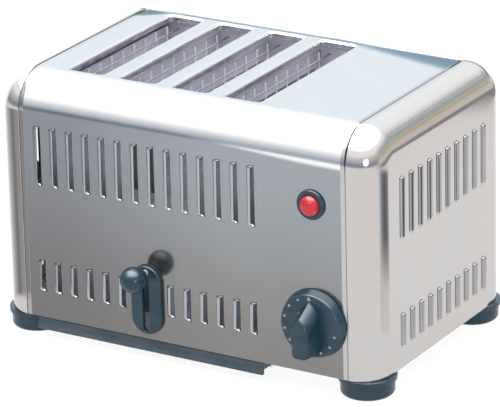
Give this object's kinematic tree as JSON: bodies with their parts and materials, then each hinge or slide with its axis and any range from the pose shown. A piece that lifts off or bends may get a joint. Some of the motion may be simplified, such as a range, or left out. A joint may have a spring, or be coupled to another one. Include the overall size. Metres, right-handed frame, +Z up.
{
  "type": "toaster",
  "caption": "Countertop slot toaster: louvred sheet-steel body with ball-cornered end caps, front lever lift, clockwork timer knob, pilot lamp and slide-out crumb tray on round feet.",
  "frame": {"origin": "on the standing plane, under the middle of the outline (ball knob and cord gland included)", "axes": "+Z up, -Y towards the front panel with the lever and the timer, +X towards the end with the timer"},
  "size_m": [0.377, 0.2754, 0.235],
  "materials": {
    "satin_steel": "satin, polished over the top roll",
    "polished_steel": "mirror polished",
    "inner_steel": "bare sheet",
    "tray_steel": "dark satin",
    "black_plastic": "moulded, satin to gloss",
    "red_lens": "clear red, glossy",
    "mica_board": "mica board with flat ribbon",
    "bell_brass": "plain",
    "terminal_ceramic": "unglazed",
    "bright_wire": "bright wire and rod"
  },
  "bodies": {
    "housing": {"wrap_cover": "satin_steel", "end_cap_left": "polished_steel", "end_cap_right": "polished_steel", "base_pan": "inner_steel", "tray_runner_left": "inner_steel", "tray_runner_right": "inner_steel", "chamber_wall_front": "inner_steel", "chamber_wall_back": "inner_steel", "chamber_wall_left": "inner_steel", "control_partition": "inner_steel", "rod_bracket_lower": "inner_steel", "rod_bracket_upper": "inner_steel", "foot_front_left": "black_plastic", "foot_front_right": "black_plastic", "foot_rear_left": "black_plastic", "foot_rear_right": "black_plastic", "lever_plate": "black_plastic", "timer_body": "black_plastic", "lamp_body": "black_plastic", "lamp_nut": "black_plastic", "cord_gland": "black_plastic", "lamp_lens": "red_lens", "heating_element_1": "mica_board", "heating_element_2": "mica_board", "heating_element_3": "mica_board", "heating_element_4": "mica_board", "heating_element_5": "mica_board", "timer_bell": "bell_brass", "terminal_block": "terminal_ceramic", "bread_guard_1_left": "bright_wire", "bread_guard_1_right": "bright_wire", "bread_guard_2_left": "bright_wire", "bread_guard_2_right": "bright_wire", "bread_guard_3_left": "bright_wire", "bread_guard_3_right": "bright_wire", "bread_guard_4_left": "bright_wire", "bread_guard_4_right": "bright_wire", "guide_rod_left": "bright_wire", "guide_rod_right": "bright_wire", "return_spring_left": "bright_wire", "return_spring_right": "bright_wire", "hold_down_clip": "bright_wire"},
    "crumb_tray": {"crumb_tray": "tray_steel"},
    "bread_lift": {"lift_carriage": "inner_steel", "lever_arm": "bright_wire", "lever_knob": "black_plastic", "bread_rack_1": "bright_wire", "bread_rack_2": "bright_wire", "bread_rack_3": "bright_wire", "bread_rack_4": "bright_wire"},
    "timer_spindle": {"timer_knob": "black_plastic", "timer_shaft": "bright_wire"}
  },
  "joints": [
    {"name": "crumb_tray_slide", "type": "slide", "parent": "housing", "child": "crumb_tray", "axis": [0, -1, 0], "range_m": [0, 0.18]},
    {"name": "lever_slide", "type": "slide", "parent": "housing", "child": "bread_lift", "axis": [0, 0, -1], "range_m": [0, 0.05], "stiffness_N_per_m": 150, "springref_m": -0.04, "deforming": ["return_spring_left", "return_spring_right"]},
    {"name": "timer_turn", "type": "hinge", "parent": "housing", "child": "timer_spindle", "pos_m": [0.128, -0.10455, 0.064], "axis": [0, 1, 0], "range_deg": [0, 300]}
  ]
}
